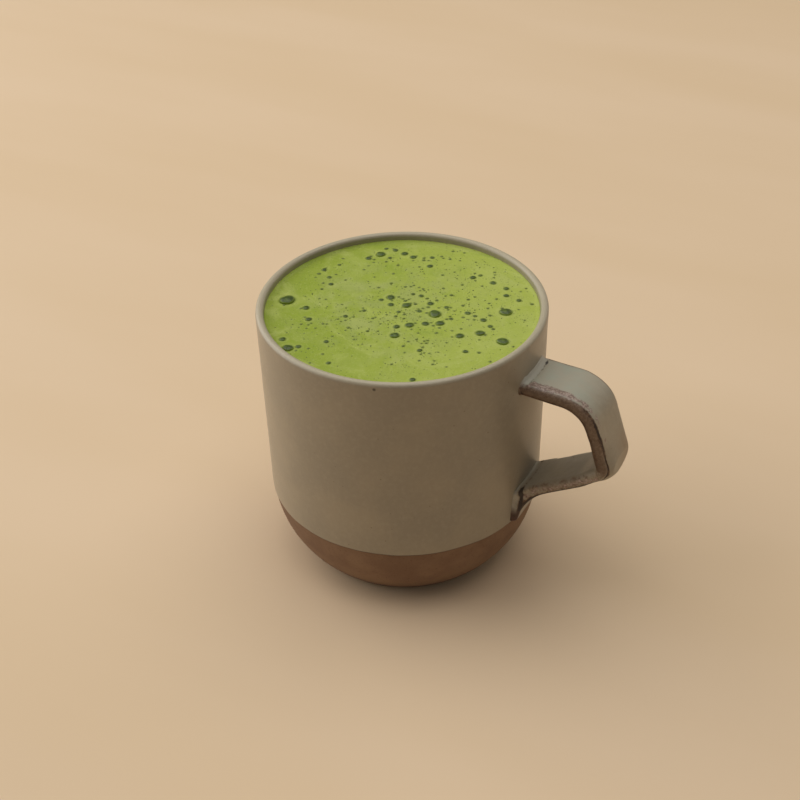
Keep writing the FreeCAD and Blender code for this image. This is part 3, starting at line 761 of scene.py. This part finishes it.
def cup_material():
    m = Mat("satin_glaze_over_clay")
    tone, fine = glaze_coat(m)
    coat, line = m.attr("coat"), m.attr("line")
    clay_noise = m.noise(0.8, 4, 0.7)
    clay = m.mix(m.fit(m.noise(12, 3), 0.3, 0.7), lin(122, 93, 70), lin(138, 109, 83))
    clay = m.mix(m.times(m.fit(clay_noise, 0.52, 0.75), 0.5), clay, lin(92, 62, 44))
    # the clay is darker towards the foot
    clay = m.mix(m.fit(m.height(), 1 * MM, 9 * MM, 0.55, 0.0), clay, lin(58, 40, 28))
    colour = m.mix(coat, clay, tone)
    # a thin dark line where the glaze ends
    off_line = m.math("ABSOLUTE", m.math("SUBTRACT", line, 0.05))
    colour = m.mix(m.times(m.fit(off_line, 0.10, 0.45, 1, 0), 0.75), colour, lin(74, 56, 42))
    # one pinhole under the lip
    pit_angle, pit_radius, pit_height = math.radians(-72), RIM - 0.1, 83.2
    from_pit = m.near_point(pit_radius * math.cos(pit_angle), pit_radius * math.sin(pit_angle), pit_height)
    colour = m.mix(m.fit(from_pit, 0.2 * MM, 0.7 * MM, 0.85, 0), colour, lin(40, 28, 20))
    # the glaze runs thin over the lip, and the lip's top is also painted lighter as a painted highlight from
    # the light above
    lip = m.fit(m.height(), 83.8 * MM, 85.2 * MM)
    colour = m.mix(m.times(lip, 0.7), colour, lin(192, 182, 154))
    glaze_roughness = m.mix(m.fit(fine, 0.3, 0.7), level(0.36), level(0.46))
    m.set(Base_Color=colour, Roughness=m.mix(coat, level(0.85), glaze_roughness))
    m.set(Coat_Weight=m.times(coat, 0.25), Coat_Roughness=0.28)
    grain = m.bump(clay_noise, 0.10, 0.5)
    m.set(Normal=m.bump(m.noise(0.9, 3, 0.5), 0.02, 0.35, grain))
    return m.mat


def handle_material():
    m = Mat("glaze_broken_on_edges")
    tone, _ = glaze_coat(m)
    speckle = m.noise(0.8, 4, 0.75)
    mottle = m.noise(1.7, 4, 0.7)

    def ragged(value, noise_, amount, a, b):
        """A mask with its border broken up by noise."""
        spread = m.times(m.math("SUBTRACT", noise_, 0.5), amount)
        return m.fit(m.math("ADD", value, spread), a, b)

    # the upper arm is greyer and lighter, the lower bend's far side tan
    patch = m.fit(m.noise(8, 3, 0.6), 0.38, 0.62)
    tone = m.mix(m.times(m.attr("upper"), 0.8), tone, m.mix(patch, lin(176, 170, 150), lin(170, 174, 156)))
    tone = m.mix(m.times(m.attr("tan"), 0.65), tone, lin(140, 112, 82))
    # the sides, where the glaze is thin, darkened further by painted shade on their halves that face down
    taupe = m.mix(m.fit(speckle, 0.36, 0.66), lin(98, 75, 55), lin(128, 104, 82))
    taupe = m.mix(m.times(m.attr("painted_shade"), 0.6), taupe, lin(72, 50, 33))
    colour = m.mix(ragged(m.attr("taupe"), mottle, 1.0, 0.34, 0.62), tone, taupe)
    # pinkish specks beside the edge, and brown where the glaze breaks on it
    pink = m.mix(m.fit(speckle, 0.42, 0.62), lin(122, 99, 85), lin(176, 156, 143))
    colour = m.mix(ragged(m.attr("pink"), mottle, 1.6, 0.40, 0.70), colour, pink)
    browned = m.mix(m.fit(speckle, 0.40, 0.65), lin(66, 42, 24), lin(112, 82, 56))
    worn = ragged(m.attr("brown"), m.noise(2.6, 4, 0.72), 1.9, 0.42, 0.70)
    colour = m.mix(m.times(worn, 0.9), colour, browned)
    deep = ragged(m.attr("brown"), m.noise(3.4, 3, 0.6), 1.2, 0.72, 0.95)
    colour = m.mix(deep, colour, lin(42, 25, 14))
    # the joints: rusty tail, pale bead of thin glaze with a painted highlight, dark line
    rust = m.mix(speckle, lin(52, 26, 16), lin(84, 48, 32))
    colour = m.mix(m.times(m.attr("rust"), 0.85), colour, rust)
    colour = m.mix(m.times(m.attr("pale"), 0.70), colour, lin(172, 166, 150))
    line = ragged(m.attr("line"), m.noise(1.4, 4, 0.75), 1.3, 0.36, 0.85)
    line_tone = m.mix(m.fit(line, 0.3, 1.0), lin(88, 64, 46), lin(34, 20, 12))
    colour = m.mix(m.times(line, 0.92), colour, line_tone)
    m.set(Base_Color=colour)
    m.set(Roughness=m.mix(m.math("MAXIMUM", worn, line), level(0.42), level(0.62)))
    m.set(Coat_Weight=0.2, Coat_Roughness=0.3)
    relief = m.bump(m.math("SUBTRACT", 1.0, worn), 0.05, 0.5)
    m.set(Normal=m.bump(speckle, 0.05, 0.5, relief))
    return m.mat


def foam_material():
    m = Mat("fine_green_foam")
    # darker green on the left of the view's direction, lighter and yellower on the right
    wander = m.times(m.math("SUBTRACT", m.noise(24, 3, 0.6), 0.5), 50 * MM)
    side = m.fit(m.math("ADD", m.vector("DOT_PRODUCT", ACROSS), wander), -34 * MM, 36 * MM)
    colour = m.mix(side, lin(142, 161, 30), lin(166, 180, 68))
    swirl = m.noise(13, 5, 0.62, warp=1.2)
    colour = m.mix(m.times(m.fit(swirl, 0.46, 0.68), 0.6), colour, lin(176, 187, 92))
    colour = m.mix(m.times(m.fit(swirl, 0.46, 0.28), 0.45), colour, lin(130, 154, 26))
    # microfoam: pale grains and pinholes
    grain = m.noise(0.55, 3, 0.7)
    colour = m.mix(m.times(m.fit(grain, 0.50, 0.72), 0.35), colour, lin(192, 200, 128))
    hole = m.fit(m.cells(0.9), 0.10, 0.24, 1, 0)
    holes = m.times(hole, m.fit(m.noise(4.5, 4, 0.75), 0.42, 0.58))
    colour = m.mix(m.times(holes, 0.75), colour, lin(88, 106, 20))
    # finer pores and pale patches towards the middle
    middle = m.fit(m.near_point(-4, -2, LEVEL), 10 * MM, 34 * MM, 1.0, 0.25)
    pore = m.fit(m.cells(0.62), 0.08, 0.26, 1, 0)
    pores = m.times(pore, m.fit(m.noise(6.0, 4, 0.7), 0.44, 0.60), middle, 0.55)
    colour = m.mix(pores, colour, lin(104, 124, 34))
    patches = m.times(middle, m.fit(m.noise(9, 4, 0.65), 0.42, 0.62), 0.40)
    colour = m.mix(patches, colour, lin(160, 168, 104))
    # round each bubble: a pale film, and painted shade in the dimple at its foot
    colour = m.mix(m.times(m.attr("film"), 0.35), colour, lin(176, 186, 96))
    colour = m.mix(m.times(m.attr("dimple_shade"), 0.75), colour, lin(92, 112, 20))
    m.set(Base_Color=colour)
    m.set(Roughness=m.mix(m.fit(grain, 0.3, 0.7), level(0.5), level(0.68)))
    m.set(Subsurface_Weight=0.12, Subsurface_Radius=(1.0, 1.0, 0.35), Subsurface_Scale=1.2 * MM)
    relief = m.bump(grain, 0.10, 0.5)
    m.set(Normal=m.bump(m.math("SUBTRACT", 1.0, holes), 0.12, 0.6, relief))
    return m.mat


def bubble_material():
    m = Mat("bubble_skin_over_drink")
    dark = m.mix(m.fit(m.noise(1.2, 3, 0.6), 0.35, 0.7), lin(54, 74, 4), lin(84, 104, 14))
    colour = m.mix(m.fit(m.attr("rim"), 0.80, 1.0), dark, lin(118, 138, 24))
    # the smallest are paler
    large = m.fit(m.attr("big"), 0.25, 0.8)
    m.set(Base_Color=m.mix(large, lin(108, 122, 36), colour))
    m.set(Roughness=m.mix(large, level(0.35), level(0.38)))
    m.set(Normal=m.bump(m.noise(0.8, 2), 0.03, 0.3))
    return m.mat


# ------------------------------------------------------------------ the object
rng = np.random.default_rng(20)
bubbles = place_bubbles(rng)
cup, handle, foam, skins = make_cup(), make_handle(), make_foam(bubbles), make_skins(bubbles, rng)
for ob, mat in ((cup, cup_material()), (handle, handle_material()),
                (foam, foam_material()), (skins, bubble_material())):
    ob.data.materials.append(mat)
    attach(ob, "root")
for ob in (cup, handle):
    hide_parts("mug")
for ob in (foam, skins):
    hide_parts("matcha")

# ------------------------------------------------------------------ floor, light, camera
BACKDROP = lin(228, 211, 185)
FLOOR_HALF = 3000


def make_floor():
    """A pale floor that the camera sees run into the backdrop far from the object."""
    corners = [(x * FLOOR_HALF, y * FLOOR_HALF, 0) for x, y in ((-1, -1), (1, -1), (1, 1), (-1, 1))]
    floor = make("floor", corners, [(0, 1, 2, 3)], smooth=False)
    m = Mat("pale_floor")
    grain = m.fit(m.noise(90, 3, 0.5, squash=(0.25, 1, 1)), 0.3, 0.7)
    m.set(Base_Color=m.mix(grain, lin(223, 196, 160), lin(227, 201, 168)), Roughness=0.7)
    backdrop = m.nodes.new("ShaderNodeEmission")
    backdrop.inputs[0].default_value = BACKDROP
    seen_by = m.nodes.new("ShaderNodeLightPath")
    far_off = m.fit(m.vector("LENGTH"), 450 * MM, 1500 * MM)
    blend = m.nodes.new("ShaderNodeMixShader")
    m.link(m.times(far_off, seen_by.outputs["Is Camera Ray"]), blend.inputs[0])
    m.link(m.shader.outputs[0], blend.inputs[1])
    m.link(backdrop.outputs[0], blend.inputs[2])
    m.link(blend.outputs[0], m.out.inputs[0])
    floor.data.materials.append(m.mat)


def make_world():
    """Soft fill light, and a plain backdrop for the camera."""
    world = bpy.data.worlds.new("studio")
    bpy.context.scene.world = world
    world.use_nodes = True
    nodes, links = world.node_tree.nodes, world.node_tree.links
    nodes.clear()

    def background(colour, strength):
        n = nodes.new("ShaderNodeBackground")
        n.inputs[0].default_value = colour
        n.inputs[1].default_value = strength
        return n.outputs[0]

    choose = nodes.new("ShaderNodeMixShader")
    links.new(nodes.new("ShaderNodeLightPath").outputs["Is Camera Ray"], choose.inputs[0])
    links.new(background((1.0, 0.97, 0.93, 1), 0.19), choose.inputs[1])
    links.new(background(BACKDROP, 1.0), choose.inputs[2])
    links.new(choose.outputs[0], nodes.new("ShaderNodeOutputWorld").inputs[0])


def lamp(name, place, aim, size, watts, colour):
    """A rectangular lamp; place is how far across, away and up, and aim is a height, in metres."""
    data = bpy.data.lights.new(name, "AREA")
    data.shape = "RECTANGLE"
    data.size, data.size_y = size
    data.energy = watts
    data.color = colour
    ob = bpy.data.objects.new(name, data)
    bpy.context.scene.collection.objects.link(ob)
    ob.location = place[0] * ACROSS + place[1] * AWAY + place[2] * UP
    ob.rotation_euler = (aim * UP - ob.location).to_track_quat("-Z", "Y").to_euler()


def make_camera():
    """The camera at the photograph's viewing angle."""
    data = bpy.data.cameras.new("camera")
    data.lens = 65.25
    data.sensor_width = 36
    data.clip_start = 0.01
    camera = bpy.data.objects.new("camera", data)
    bpy.context.scene.collection.objects.link(camera)
    bpy.context.scene.camera = camera
    down, tilt = math.radians(VIEW_DOWN), math.radians(VIEW_TILT)
    back = UP * math.sin(down) - AWAY * math.cos(down)
    upward = back.cross(ACROSS)
    right = ACROSS * math.cos(tilt) + upward * math.sin(tilt)
    upward = upward * math.cos(tilt) - ACROSS * math.sin(tilt)
    place = (0.1728, -0.3143, 0.3059)
    axes = Matrix((right, upward, back)).transposed().to_4x4()
    camera.matrix_world = Matrix.Translation(place) @ axes


make_floor()
make_world()
lamp("window", (-1.3, 0.5, 0.75), 0.05, (2.0, 1.7), 20, (1.0, 0.975, 0.94))
lamp("ceiling", (0.1, 0.2, 1.3), 0.0, (1.4, 1.4), 9.3, (1.0, 0.975, 0.94))
lamp("room", (1.2, 1.0, 0.6), 0.04, (1.2, 0.8), 2.0, (1.0, 0.90, 0.76))
make_camera()
bpy.context.scene.view_settings.view_transform = "Standard"
